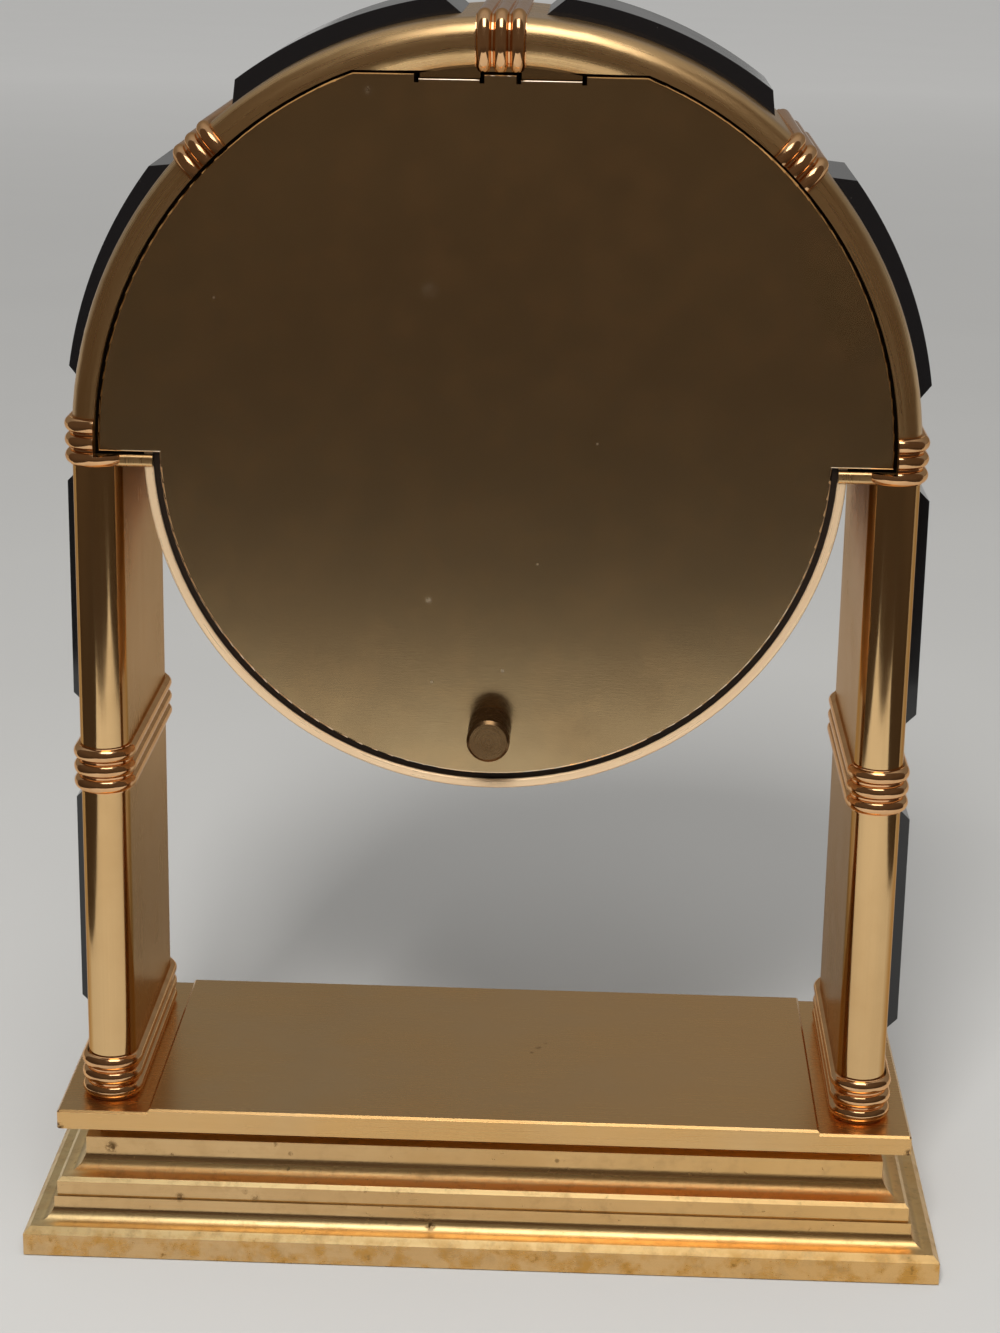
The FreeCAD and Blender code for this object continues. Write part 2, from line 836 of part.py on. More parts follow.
def setting_knob():
    # A fluted thumb wheel on the back of the movement
    z = arch_z + 2 * gear_distance
    y0 = movement_rear + running_fit
    y1 = y0 + setting_knob_height
    body = rod_y(0, z, setting_knob_radius, y0, y1)
    for i in range(setting_knob_flutes):
        angle = 2 * math.pi * i / setting_knob_flutes
        body = body.cut(rod_y(setting_knob_radius * math.cos(angle),
                              z + setting_knob_radius * math.sin(angle),
                              flute_radius, y0 - overrun, y1 + overrun))
    return body


def cannon_pinion():
    # Carries the minute hand; a tube over the seconds arbor
    body = gear(cannon_teeth, fast_module, arch_z, fast_layer, math.pi / 2)
    tube = rod_y(0, arch_z, minute_tube_radius, minute_hand_y, fast_layer)
    body = body.fuse(tube)
    bore = rod_y(0, arch_z, seconds_radius + running_fit, minute_hand_y - overrun,
                 fast_layer + gear_thickness + overrun)
    return body.cut(bore).removeSplitter()


def minute_wheel():
    # The wheel and its pinion turn together on the pillar
    z = arch_z + gear_distance
    half_step = math.pi / wheel_teeth
    body = gear(wheel_teeth, fast_module, z, fast_layer, math.pi / 2 + half_step)
    body = body.fuse(gear(pinion_teeth, slow_module, z, slow_layer, -math.pi / 2))
    tip = slow_module * (pinion_teeth / 2 - tooth_root_share)
    body = body.fuse(rod_y(0, z, tip, slow_layer, fast_layer + gear_thickness))
    bore = rod_y(0, z, wheel_arbor_radius + running_fit, slow_layer - overrun,
                 fast_layer + gear_thickness + overrun)
    return body.cut(bore)


def hour_wheel():
    half_step = math.pi / hour_teeth
    body = gear(hour_teeth, slow_module, arch_z, slow_layer, math.pi / 2 + half_step)
    body = body.fuse(rod_y(0, arch_z, hour_tube_radius, hour_hand_y, slow_layer))
    bore = rod_y(0, arch_z, minute_tube_radius + running_fit, hour_hand_y - overrun,
                 slow_layer + gear_thickness + overrun)
    return body.cut(bore).removeSplitter()


def seconds_arbor():
    return rod_y(0, arch_z, seconds_radius, second_hand_y, movement_rear - cover_thickness)


def hand(length, width, y0, bore):
    # A tapered blade pointing to twelve, on a round boss
    tail = hand_boss_radius + width
    tail_half = width * hand_tail_width_share / 2
    widest = length * hand_widest_share
    points = [(-tail_half, y0, arch_z - tail), (tail_half, y0, arch_z - tail),
              (width / 2, y0, arch_z + widest), (0, y0, arch_z + length),
              (-width / 2, y0, arch_z + widest)]
    body = plate(points, hand_thickness)
    body = body.fuse(rod_y(0, arch_z, hand_boss_radius, y0, y0 + hand_thickness))
    return body.cut(rod_y(0, arch_z, bore, y0 - overrun, y0 + hand_thickness + overrun))


def hour_hand():
    return hand(hour_hand_length, hand_width, hour_hand_y, hour_tube_radius)


def minute_hand():
    return hand(minute_hand_length, hand_width, minute_hand_y, minute_tube_radius)


def second_hand():
    half = second_hand_width / 2
    y1 = second_hand_y + hand_thickness
    body = box(-half, half, second_hand_y, y1, arch_z - second_hand_tail, arch_z + second_hand_length)
    body = body.fuse(rod_y(0, arch_z, minute_tube_radius, second_hand_y, y1))
    return body.cut(rod_y(0, arch_z, seconds_radius, second_hand_y - overrun, y1 + overrun))


def battery():
    half = battery_length / 2
    can = rod_x(battery_y, battery_z, battery_radius, -half, half - battery_nub_length)
    nub = rod_x(battery_y, battery_z, battery_nub_radius, half - battery_nub_length - overrun, half)
    return can.fuse(nub).removeSplitter()


def battery_contacts():
    # A leaf at each end of the bay
    end = battery_length / 2 + battery_end_gap
    leaves = []
    for x0 in (-end, end - contact_thickness):
        leaves.append(box(x0, x0 + contact_thickness, battery_y - contact_width / 2,
                          battery_y + contact_width / 2, battery_z - contact_width / 2,
                          battery_z + contact_width / 2))
    return Part.makeCompound(leaves)


def main():
    write("base_moulding", base_moulding())
    write("base_top_slab", base_top_slab())
    write("base_felt_pad", base_felt_pad())
    write("tie_screws", tie_screws())

    # What stands on the right is mirrored to the left
    foot_top = slab_top + collar_height
    middle_low = column_middle - collar_height / 2
    middle_high = column_middle + collar_height / 2
    quarter = math.pi / 2
    collar_half = collar_height / 2 / column_centre
    springing = math.asin((arch_foot + collar_height - arch_z) / column_centre)
    shoulder_angle = springing - collar_half
    haunch_angle = (quarter + shoulder_angle) / 2
    paired = {
        "foot_collar": collar(slab_top),
        "lower_column": column(foot_top, middle_low),
        "middle_collar": collar(middle_low),
        "upper_column": column(middle_high, arch_foot),
        "shoulder_collar": shoulder_collar(),
        "arch_collar": arch_collar(math.degrees(haunch_angle)),
        "lower_column_strip": column_strip(foot_top, middle_low),
        "upper_column_strip": column_strip(middle_high, arch_foot),
        "lower_arch_strip": arch_strip(springing, haunch_angle - collar_half),
        "upper_arch_strip": arch_strip(haunch_angle + collar_half, quarter - collar_half),
    }
    for name, shape in paired.items():
        write("right_" + name, shape)
        write("left_" + name, mirror_x(shape))
    write("crown_collar", arch_collar(90))
    write("arch_frame", arch_frame())

    write("drum_case", drum_case())
    write("bezel", bezel())
    write("glass", glass())
    write("dial", dial())
    write("dial_spacer", dial_spacer())
    write("hour_markers", hour_markers())

    write("back_door", back_door())
    write("door_knob", door_knob())

    write("movement_case", movement_case())
    write("movement_cover", movement_cover())
    write("rubber_washer", rubber_washer())
    write("centre_nut", centre_nut())
    write("setting_arbor", setting_arbor())
    write("setting_knob", setting_knob())
    write("cannon_pinion", cannon_pinion())
    write("minute_wheel", minute_wheel())
    write("hour_wheel", hour_wheel())
    write("seconds_arbor", seconds_arbor())
    write("hour_hand", hour_hand())
    write("minute_hand", minute_hand())
    write("second_hand", second_hand())
    write("battery", battery())
    write("battery_contacts", battery_contacts())


main()
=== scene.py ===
import bpy
import math
from mathutils import Matrix, Vector

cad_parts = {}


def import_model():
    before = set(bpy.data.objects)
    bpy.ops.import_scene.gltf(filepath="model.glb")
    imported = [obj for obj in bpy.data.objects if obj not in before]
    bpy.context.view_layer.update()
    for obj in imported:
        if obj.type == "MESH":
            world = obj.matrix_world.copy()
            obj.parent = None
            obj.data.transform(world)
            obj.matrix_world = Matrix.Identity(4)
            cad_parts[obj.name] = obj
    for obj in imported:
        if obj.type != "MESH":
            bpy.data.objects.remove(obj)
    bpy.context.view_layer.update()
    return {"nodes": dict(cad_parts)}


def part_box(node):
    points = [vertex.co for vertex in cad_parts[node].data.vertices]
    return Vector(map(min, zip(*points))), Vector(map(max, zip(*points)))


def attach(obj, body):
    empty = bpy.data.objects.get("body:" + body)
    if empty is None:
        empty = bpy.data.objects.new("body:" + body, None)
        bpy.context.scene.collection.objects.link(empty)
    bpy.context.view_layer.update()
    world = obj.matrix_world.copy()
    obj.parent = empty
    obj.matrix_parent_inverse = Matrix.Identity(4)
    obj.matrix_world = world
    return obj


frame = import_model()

nodes = frame["nodes"]

# Metres. The dial faces -Y, the back door faces +Y, and the origin is the middle of the underside.
drum_low, drum_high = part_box("drum_case")
drum_centre = (drum_low + drum_high) / 2
drum_radius = (drum_high.x - drum_low.x) / 2
dial_low, dial_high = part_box("dial")
dial_radius = (dial_high.x - dial_low.x) / 2
door_low, door_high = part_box("back_door")
door_radius = (door_high.x - door_low.x) / 2
base_low, base_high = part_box("base_moulding")

# Linear colours of the metals
GOLD = (0.80, 0.53, 0.255)
GOLD_TARNISH = (0.50, 0.26, 0.075)
# Painted dark reflection down the sides of the column rods
ROD_SIDE_REFLECTION_DARK = (0.40, 0.19, 0.06)
# Painted darker reflection on the columns' flat faces
FLAT_FACE_REFLECTION_GOLD = (0.46, 0.32, 0.20)
# Painted highlight on the base's coves and upward faces
UPWARD_HIGHLIGHT_GOLD = (1.0, 0.75, 0.37)
# Painted shade in the quirk under the slab
QUIRK_SHADE = (0.38, 0.21, 0.07)
WARM_GOLD = (0.90, 0.53, 0.18)
BASE_MOTTLE = (0.56, 0.35, 0.15)
PLINTH_STAIN = (0.66, 0.33, 0.06)
BASE_SPOT = (0.16, 0.085, 0.03)
SLAB_DRIFT = (0.84, 0.48, 0.16)
SLAB_WARM = (1.0, 0.58, 0.22)
SLAB_SPOT = (0.12, 0.06, 0.025)
GOLD_AT_GLANCE = (0.95, 0.70, 0.44, 1)
ROSE_GOLD = (0.88, 0.53, 0.27)
PALE_ROSE = (0.84, 0.61, 0.38)
ROSE_DEEP = (0.46, 0.17, 0.045)
ROSE_AT_GLANCE = (0.98, 0.76, 0.55, 1)
BRASS = (0.56, 0.405, 0.215)
BRASS_STAIN = (0.42, 0.28, 0.14)
BRASS_SMUDGE = (0.8, 0.72, 0.6)
# Painted highlight on the door's polished rim
BRASS_RIM_HIGHLIGHT = (0.95, 0.80, 0.64)
KNOB_BRASS = (0.22, 0.13, 0.06)
STEEL = (0.58, 0.57, 0.55)
STEEL_STAIN = (0.34, 0.33, 0.32)
BARE_STEEL = (0.62, 0.61, 0.6)
# Painted shade inside the door's recess and the drum's gap round the door
RECESS_SHADE = (0.022, 0.013, 0.008)

# Linear colours of the rest
BLACK_GLOSS = (0.006, 0.006, 0.007)
BLACK_DUST = (0.2, 0.19, 0.18)
BLACK_PLASTIC = (0.018, 0.018, 0.02)
WHITE_PLASTIC = (0.7, 0.7, 0.68)
RUBBER = (0.02, 0.02, 0.02)
HAND_BLACK = (0.01, 0.01, 0.012)
DIAL_PAINT = (0.78, 0.74, 0.64)
DIAL_INK = (0.01, 0.01, 0.01)
TRACK_INK = (0.012, 0.012, 0.012)
FELT_DARK = (0.012, 0.02, 0.014)
FELT_PALE = (0.05, 0.075, 0.055)
GLASS_CLEAR = (1.0, 1.0, 1.0)
GLASS_SMEAR = (0.96, 0.98, 0.97)
JACKET_PALE = (0.42, 0.43, 0.43)
JACKET_BAND = (0.05, 0.09, 0.17)
JACKET_SCUFF = (0.3, 0.3, 0.3)
FLOOR_PALE = (0.55, 0.55, 0.54)
FLOOR_GLOW = (1.0, 0.995, 0.98, 1)
CARD_GLOW = (1.0, 0.74, 0.54, 1)
KEY_LIGHT = (1.0, 0.985, 0.96)
OVERHEAD_LIGHT = (1.0, 0.985, 0.97)
SKY_LIGHT = (1.0, 0.985, 0.96, 1)

# Sizes on the dial
NUMBERS_RADIUS = dial_radius * 0.6
NUMBERS_SIZE = dial_radius * 0.17
PRINT_HEIGHT = 0.00003
TRACK_GAP = 0.0008
MARK_LENGTH = 0.0014
MARK_WIDTH = 0.0003

# Strength of the far floor's own glow
FAR_FLOOR_GLOW = 0.25

# Dark cards: each has its place, its turn in degrees and its width
CARD_HEIGHT = 0.64
CARDS = (((0, 0.315, 0.32), 0, 0.46), ((0.185, 0.14, 0.32), 90, 0.35),
         ((-0.23, 0.14, 0.32), 90, 0.35))

# Lamps: each has its place, its width and length, and its power in watts
KEY_LAMP = ((0.16, 0.95, 1.0), (0.3, 0.3), 14.5)
OVERHEAD_LAMP = ((-0.1, 0.6, 1.2), (0.6, 1.3), 8.0)
LAMPS_AIM = (0, 0, 0.08)

# Camera: its place, its lens in millimetres and its angles in radians
CAMERA_PLACE = (-0.01473, 0.4283, 0.2193)
CAMERA_LENS = 75.09
CAMERA_HEADING = math.pi + 0.0327
CAMERA_PITCH = math.pi / 2 - 0.2906
CAMERA_ROLL = 0.0171

# Marks: each has its place, its radius and its strength
DOOR_SMUDGES = (((0.0099, 0.0204, 0.1549), 0.0016, 0.22), ((0.0193, 0.0204, 0.1837), 0.0010, 0.35),
                ((0.0097, 0.0204, 0.1075), 0.0007, 0.5), ((-0.0018, 0.0204, 0.0966), 0.0004, 0.5))
BASE_MARKS = (((0.0600, 0.0225, 0.0152), 0.0012, 0.9), ((0.0080, 0.0279, 0.0057), 0.0010, 1.0),
              ((0.0500, 0.0225, 0.0141), 0.0006, 0.7), ((0.0379, 0.0268, 0.0101), 0.0006, 0.7),
              ((0.0363, 0.0268, 0.0090), 0.0008, 0.7), ((0.0484, 0.0268, 0.0088), 0.0009, 0.7),
              ((0.0310, 0.0225, 0.0150), 0.0005, 0.6), ((-0.0120, 0.0225, 0.0152), 0.0005, 0.6))
SLAB_MARKS = (((0.0677, 0.0265, 0.0203), 0.0010, 1.0), ((-0.0677, 0.0265, 0.0203), 0.0010, 1.0),
              ((-0.0082, -0.0017, 0.0239), 0.0007, 0.8), ((-0.0072, 0.0002, 0.0239), 0.0005, 0.7),
              ((-0.0093, -0.0036, 0.0239), 0.0005, 0.7))


# Nodes and materials

def add(tree, kind, inputs=None, **settings):
    """Adds a shader node. An input is a number, a colour or another node's output."""
    made = tree.nodes.new("ShaderNode" + kind)
    for key, value in settings.items():
        setattr(made, key, value)
    for key, value in (inputs or {}).items():
        if isinstance(value, bpy.types.NodeSocket):
            tree.links.new(value, made.inputs[key])
        else:
            made.inputs[key].default_value = value
    return made


def start(name):
    """A new material, its node tree and its shader."""
    made = bpy.data.materials.new(name)
    made.use_nodes = True
    return made, made.node_tree, made.node_tree.nodes["Principled BSDF"]


def place(tree, stretch=(1, 1, 1)):
    """Object coordinates, stretched for a grain."""
    here = add(tree, "TexCoord").outputs["Object"]
    return add(tree, "VectorMath", {0: here, 1: stretch}, operation="MULTIPLY").outputs[0]


def along(tree, axis):
    """The place along one axis of the object."""
    here = add(tree, "TexCoord").outputs["Object"]
    return add(tree, "SeparateXYZ", {0: here}).outputs[axis]


def turned(tree, centre, stretch):
    """Coordinates round an axis along Y: the arc, the radius and the depth."""
    here = add(tree, "TexCoord").outputs["Object"]
    moved = add(tree, "VectorMath", {0: here, 1: centre}, operation="SUBTRACT").outputs[0]
    parts = add(tree, "SeparateXYZ", {0: moved}).outputs
    angle = add(tree, "Math", {0: parts["X"], 1: parts["Z"]}, operation="ARCTAN2").outputs[0]
    flat = add(tree, "CombineXYZ", {"X": parts["X"], "Z": parts["Z"]}).outputs[0]
    radius = add(tree, "VectorMath", {0: flat}, operation="LENGTH").outputs["Value"]
    joined = add(tree, "CombineXYZ", {"X": angle, "Y": radius, "Z": parts["Y"]}).outputs[0]
    return add(tree, "VectorMath", {0: joined, 1: stretch}, operation="MULTIPLY").outputs[0]


def noise(tree, vector, scale, detail=2.0, rough=0.5):
    inputs = {"Vector": vector, "Scale": scale, "Detail": detail, "Roughness": rough}
    return add(tree, "TexNoise", inputs).outputs[0]


def fade(tree, value, low, high, at_low=0.0, at_high=1.0):
    """Maps a range of values to another, clamped."""
    inputs = {"Value": value, "From Min": low, "From Max": high,
              "To Min": at_low, "To Max": at_high}
    return add(tree, "MapRange", inputs).outputs[0]


def blend(tree, factor, first, second):
    """Mixes two colours."""
    inputs = {0: factor}
    for key, value in ((6, first), (7, second)):
        inputs[key] = value if isinstance(value, bpy.types.NodeSocket) else (*value, 1.0)
    return add(tree, "Mix", inputs, data_type="RGBA").outputs[2]


def math_node(tree, kind, first, second):
    return add(tree, "Math", {0: first, 1: second}, operation=kind).outputs[0]


def bump(tree, height, distance, strength=1.0, under=None):
    inputs = {"Height": height, "Distance": distance, "Strength": strength}
    if under is not None:
        inputs["Normal"] = under
    return add(tree, "Bump", inputs).outputs[0]


def spots(tree, vector, scale, size):
    """Small round marks, one per cell of a grid of random points."""
    near = add(tree, "TexVoronoi", {"Vector": vector, "Scale": scale}).outputs["Distance"]
    return fade(tree, near, size, size * 0.5)


def dent(tree, centre, radius):
    """One mark at a given place."""
    here = add(tree, "TexCoord").outputs["Object"]
    away = add(tree, "VectorMath", {0: here, 1: centre}, operation="DISTANCE").outputs["Value"]
    return fade(tree, away, radius, radius * 0.4)


def marked(tree, marks, rag_scale=1400.0):
    """Several dents, with ragged outlines."""
    total = None
    for spot, radius, strength in marks:
        mark = math_node(tree, "MULTIPLY", dent(tree, spot, radius), strength)
        total = mark if total is None else math_node(tree, "MAXIMUM", total, mark)
    rag = fade(tree, noise(tree, place(tree), rag_scale, 3.0, 0.7), 0.36, 0.56)
    return math_node(tree, "MULTIPLY", total, rag)


def facing(tree, axis):
    """How squarely the surface lies to one axis of the object, from 0 to 1."""
    normal = add(tree, "TexCoord").outputs["Normal"]
    part = add(tree, "SeparateXYZ", {0: normal}).outputs[axis]
    return add(tree, "Math", {0: part}, operation="ABSOLUTE").outputs[0]


def heights(tree, low, high):
    """From 0 at one height to 1 at another."""
    return fade(tree, along(tree, "Z"), low, high)


def toward_left(tree, most):
    """From 0 on the dial's right-hand side, growing towards its left-hand side."""
    return fade(tree, along(tree, "X"), 0.03, -0.06, 0.0, most)


def inside_recess(tree, radius, below):
    """1 below the door's face and within a radius of the drum's axis, and 0 outside."""
    here = add(tree, "TexCoord").outputs["Object"]
    moved = add(tree, "VectorMath", {0: here, 1: drum_centre}, operation="SUBTRACT").outputs[0]
    flat = add(tree, "VectorMath", {0: moved, 1: (1, 0, 1)}, operation="MULTIPLY").outputs[0]
    away = add(tree, "VectorMath", {0: flat}, operation="LENGTH").outputs["Value"]
    edge = door_high.y - below
    deep = fade(tree, along(tree, "Y"), edge, edge - 0.0002)
    near = fade(tree, away, radius + 0.00012, radius + 0.00004)
    return math_node(tree, "MULTIPLY", deep, near)


def plated(name, colour, stain, grain, roughness, grain_height, cloud_scale=38.0, cloud=0.55):
    """Plated metal: a colour with cloudy stains, a directional grain and a varied roughness."""
    made, tree, shader = start(name)
    vector = grain(tree)
    here = place(tree)
    streak = noise(tree, vector, 1.0, 3.0, 0.6)
    clouds = noise(tree, here, cloud_scale, 5.0, 0.62)
    amount = fade(tree, clouds, 0.42, 0.78, 0.0, cloud)
    tone = blend(tree, amount, colour, stain)
    low = tuple(channel * 0.86 for channel in colour)
    tone = blend(tree, fade(tree, streak, 0.35, 0.7, 0.0, 0.35), tone, low)
    worn = fade(tree, streak, 0.3, 0.7, roughness * 0.8, roughness * 1.2)
    worn = math_node(tree, "ADD", worn, fade(tree, clouds, 0.45, 0.8, 0.0, 0.07))
    shader.inputs["Metallic"].default_value = 1.0
    tree.links.new(tone, shader.inputs["Base Color"])
    tree.links.new(worn, shader.inputs["Roughness"])
    tree.links.new(bump(tree, streak, grain_height), shader.inputs["Normal"])
    return made, tree, shader


def across_x(tree):
    """A grain along the width."""
    return place(tree, (40, 2600, 2600))


def up_z(tree):
    """A grain up the columns."""
    return place(tree, (2600, 2600, 25))


def even(tree):
    """A grain with no direction."""
    return place(tree, (900, 900, 900))


def round_arch(tree):
    """A grain round the drum's axis."""
    return turned(tree, drum_centre, (3.0, 2400, 2400))


def round_knob(tree):
    """Turning marks round the pull's axis."""
    low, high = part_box("door_knob")
    return turned(tree, (low + high) / 2, (0.5, 5000, 800))


def wear(tree, shader, amount, colour, roughness):
    """Lays a patch over a finish: real wear and stains, and also painted light and shade."""
    tone = shader.inputs["Base Color"].links[0].from_socket
    tree.links.new(blend(tree, amount, tone, colour), shader.inputs["Base Color"])
    under = shader.inputs["Roughness"].links[0].from_socket
    rougher = math_node(tree, "ADD", under, math_node(tree, "MULTIPLY", amount, roughness))
    tree.links.new(rougher, shader.inputs["Roughness"])


def satin_base_gold():
    """The moulding: satin faces, a painted highlight on the coves and other upward faces, painted
    shade in the quirk under the slab, a tarnished plinth and a few dents.
    """
    made, tree, shader = plated("satin_base_gold", GOLD, GOLD_TARNISH, across_x, 0.2, 0.000006)
    here = place(tree)
    foot = heights(tree, base_low.z + 0.0052, base_low.z + 0.0030)
    blotch = fade(tree, noise(tree, here, 260.0, 5.0, 0.65), 0.44, 0.62)
    stain = math_node(tree, "MULTIPLY", foot, blotch)
    upward = facing(tree, "Z")
    # Coves and upward faces painted paler as a painted highlight, and made rougher to spread it
    upward_highlight = fade(tree, upward, 0.42, 0.6)
    wear(tree, shader, upward_highlight, UPWARD_HIGHLIGHT_GOLD, 0.14)
    # Painted shade: the top of the moulding, in the quirk under the slab, darkened
    quirk = heights(tree, base_high.z - 0.0034, base_high.z - 0.0030)
    wear(tree, shader, quirk, QUIRK_SHADE, 0.2)
    wear(tree, shader, toward_left(tree, 0.6), WARM_GOLD, 0.0)
    wear(tree, shader, math_node(tree, "MULTIPLY", stain, 0.8), PLINTH_STAIN, 0.12)
    mottle = fade(tree, noise(tree, here, 330.0, 5.0, 0.72), 0.5, 0.7, 0.0, 0.5)
    wear(tree, shader, mottle, BASE_MOTTLE, 0.06)
    spatter = fade(tree, noise(tree, here, 520.0, 4.0, 0.7), 0.64, 0.74, 0.0, 0.5)
    marks = math_node(tree, "MAXIMUM", marked(tree, BASE_MARKS), spatter)
    wear(tree, shader, marks, BASE_SPOT, 0.3)
    return made


def brushed_slab_gold():
    """The slab: a fine grain, soft stains on top, and marks at its corners."""
    made, tree, shader = plated("brushed_slab_gold", GOLD, GOLD_TARNISH, across_x, 0.22, 0.000005,
                                30.0, 0.4)
    here = place(tree)
    drift = fade(tree, noise(tree, here, 45.0, 5.0, 0.6), 0.3, 0.7, 0.15, 0.7)
    wear(tree, shader, drift, SLAB_DRIFT, 0.05)
    top = fade(tree, facing(tree, "Z"), 0.9, 0.99)
    warm = math_node(tree, "MULTIPLY", toward_left(tree, 0.7), top)
    wear(tree, shader, warm, SLAB_WARM, 0.0)
    wear(tree, shader, marked(tree, SLAB_MARKS), SLAB_SPOT, 0.3)
    return made


def polished_gold():
    """The columns: polished rods with a painted dark reflection down their sides, and duller flat
    faces that are also painted darker and patchy as a painted reflection.
    """
    made, tree, shader = plated("polished_gold", GOLD, GOLD_TARNISH, up_z, 0.09, 0.000004,
                                60.0, 0.35)
    sideways = facing(tree, "X")
    # Painted dark reflection where the rods turn towards the flat faces
    wear(tree, shader, fade(tree, sideways, 0.66, 0.9, 0.0, 0.8), ROD_SIDE_REFLECTION_DARK, 0.05)
    # Flat faces: rougher for a duller finish, and painted darker and patchy as a painted reflection
    dull_and_patchy_reflection = fade(tree, noise(tree, place(tree), 70.0, 4.0, 0.6), 0.3, 0.7, 0.75, 1.0)
    flat = math_node(tree, "MULTIPLY", fade(tree, sideways, 0.985, 0.998), dull_and_patchy_reflection)
    wear(tree, shader, flat, FLAT_FACE_REFLECTION_GOLD, 0.12)
    shader.inputs["Specular Tint"].default_value = GOLD_AT_GLANCE
    return made


def satin_arch_gold():
    """The arch casting: satin outside, with painted shade down in the door's recess and slots."""
    made, tree, shader = plated("satin_arch_gold", GOLD, GOLD_TARNISH, round_arch, 0.29, 0.000006)
    recess = inside_recess(tree, door_radius + 0.0004, 0.0001)
    door_side = fade(tree, along(tree, "Y"), 0.0, 0.001)
    # Painted shade: the recess and slots round the door darkened
    wear(tree, shader, math_node(tree, "MULTIPLY", recess, door_side), RECESS_SHADE, 0.3)
    return made


def collar_gold():
    """The collars' rose gold, with cloudy stains."""
    made, _, shader = plated("collar_gold", ROSE_GOLD, ROSE_DEEP, even, 0.1, 0.000004, 260.0, 0.5)
    shader.inputs["Specular Tint"].default_value = ROSE_AT_GLANCE
    return made


def rose_gold():
    """Polished rose gold of the bezel, the spacer and the second hand."""
    return plated("rose_gold", ROSE_GOLD, ROSE_DEEP, round_arch, 0.14, 0.000003, 120.0, 0.3)[0]


def rim_gold():
    """The drum's pale lacquered rose gold, with painted shade inside the gap round the door."""
    made, tree, shader = plated("rim_gold", PALE_ROSE, ROSE_GOLD, round_arch, 0.3, 0.000003,
                                120.0, 0.2)
    shader.inputs["Metallic"].default_value = 0.45
    recess = inside_recess(tree, drum_radius - 0.0014, 0.0004)
    # Painted shade: the gap round the door darkened
    wear(tree, shader, recess, RECESS_SHADE, 0.3)
    return made


def door_brass():
    """Satin brass plate: a faint grain, broad smudges, small pale specks, and a polished rim that
    is also painted paler as a painted highlight.
    """
    made, tree, shader = start("door_brass")
    here = place(tree)
    grain = noise(tree, place(tree, (700, 700, 5200)), 1.0, 3.0, 0.6)
    broad = noise(tree, here, 24.0, 4.0, 0.55)
    small = noise(tree, here, 160.0, 4.0, 0.6)
    tone = blend(tree, fade(tree, broad, 0.38, 0.68, 0.0, 0.75), BRASS, BRASS_STAIN)
    tone = blend(tree, fade(tree, small, 0.45, 0.7, 0.0, 0.25), tone, GOLD)
    specks = math_node(tree, "MULTIPLY", spots(tree, here, 110.0, 0.03), 0.4)
    pale = math_node(tree, "MAXIMUM", marked(tree, DOOR_SMUDGES, 1800.0), specks)
    tone = blend(tree, pale, tone, BRASS_SMUDGE)
    # The rim: less rough for its polish, and painted paler as a painted highlight
    rim = fade(tree, facing(tree, "Y"), 0.985, 0.93)
    tone = blend(tree, rim, tone, BRASS_RIM_HIGHLIGHT)
    worn = fade(tree, broad, 0.35, 0.7, 0.2, 0.25)
    worn = math_node(tree, "ADD", worn, math_node(tree, "MULTIPLY", pale, 0.2))
    worn = math_node(tree, "SUBTRACT", worn, math_node(tree, "MULTIPLY", rim, 0.12))
    shader.inputs["Metallic"].default_value = 1.0
    tree.links.new(tone, shader.inputs["Base Color"])
    tree.links.new(worn, shader.inputs["Roughness"])
    tree.links.new(bump(tree, grain, 0.0000025), shader.inputs["Normal"])
    return made


def knob_brass():
    """Dull brass with turning marks."""
    return plated("knob_brass", KNOB_BRASS, BRASS_STAIN, round_knob, 0.26, 0.00001, 300.0, 0.4)[0]


def black_gloss():
    """Deep black enamel with fine dust and faint hairlines."""
    made, tree, shader = start("black_gloss")
    here = place(tree)
    dust = spots(tree, here, 420.0, 0.05)
    haze = noise(tree, here, 70.0, 4.0)
    tone = blend(tree, math_node(tree, "MULTIPLY", dust, 0.25), BLACK_GLOSS, BLACK_DUST)
    worn = fade(tree, haze, 0.35, 0.75, 0.05, 0.16)
    tree.links.new(tone, shader.inputs["Base Color"])
    tree.links.new(worn, shader.inputs["Roughness"])
    hair = noise(tree, place(tree, (300, 5000, 300)), 1.0, 2.0)
    tree.links.new(bump(tree, hair, 0.000002), shader.inputs["Normal"])
    shader.inputs["Coat Weight"].default_value = 0.3
    shader.inputs["Coat Roughness"].default_value = 0.04
    return made


def moulded(name, colour, roughness, grain_size=1800.0, height=0.00001):
    """Moulded plastic, rubber or paint with a fine even texture."""
    made, tree, shader = start(name)
    here = place(tree)
    fine = noise(tree, here, grain_size, 2.0)
    broad = noise(tree, here, 60.0, 3.0)
    dark = tuple(channel * 0.8 for channel in colour)
    tree.links.new(blend(tree, fade(tree, broad, 0.3, 0.7, 0.0, 0.6), colour, dark),
                   shader.inputs["Base Color"])
    tree.links.new(fade(tree, broad, 0.3, 0.7, roughness * 0.85, roughness * 1.15),
                   shader.inputs["Roughness"])
    tree.links.new(bump(tree, fine, height), shader.inputs["Normal"])
    return made


def felt():
    """Short pile felt."""
    made, tree, shader = start("dark_felt")
    here = place(tree)
    pile = noise(tree, here, 2400.0, 4.0, 0.7)
    tree.links.new(blend(tree, fade(tree, pile, 0.3, 0.7), FELT_DARK, FELT_PALE),
                   shader.inputs["Base Color"])
    tree.links.new(fade(tree, pile, 0.3, 0.7, 0.85, 1.0), shader.inputs["Roughness"])
    tree.links.new(bump(tree, pile, 0.0002), shader.inputs["Normal"])
    shader.inputs["Sheen Weight"].default_value = 0.4
    return made


